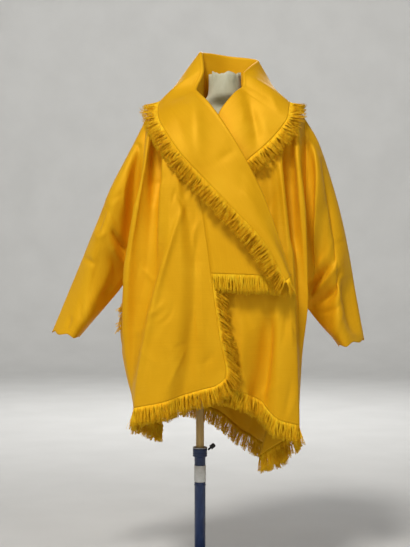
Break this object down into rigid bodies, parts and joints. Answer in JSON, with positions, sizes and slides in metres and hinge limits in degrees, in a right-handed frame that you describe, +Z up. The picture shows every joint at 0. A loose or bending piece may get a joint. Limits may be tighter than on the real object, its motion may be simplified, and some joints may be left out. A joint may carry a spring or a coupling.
{
  "type": "taffeta coat on a dress form",
  "caption": "Wrap coat in golden taffeta with a wide shawl collar, batwing sleeves and fringed edges, resting on a limbless dress form and its stand.",
  "frame": {"origin": "on the floor under the pole, in the middle of the base plate's underside", "axes": "+Z up, the coat faces -Y, +X is towards the wearer's left"},
  "size_m": [0.9405, 0.4697, 1.5888],
  "materials": {
    "taffeta": "crisp silk sheen",
    "threads": "frayed threads",
    "canvas": "matt cotton",
    "wood": "satin",
    "blue_paint": "satin",
    "white_tape": "matt",
    "black_plastic": "matt",
    "dark_plate": "satin"
  },
  "bodies": {
    "stand": {"stand_base": "dark_plate", "stand_pipe": "blue_paint", "stand_tape": "white_tape", "clamp_screw": "black_plastic"},
    "form": {"form_torso": "canvas", "form_pole": "wood", "front_right": "taffeta", "front_left": "taffeta", "back": "taffeta", "sleeve_right": "taffeta", "sleeve_left": "taffeta", "collar": "taffeta", "fringe_collar": "threads", "fringe_collar_end": "threads", "fringe_front_edge": "threads", "fringe_hem_right": "threads", "fringe_hem_left": "threads", "fringe_hem_back": "threads"}
  },
  "joints": [
    {"name": "pole_slide", "type": "slide", "parent": "stand", "child": "form", "axis": [0, 0, 1], "range_m": [-0.12, 0.1]}
  ]
}
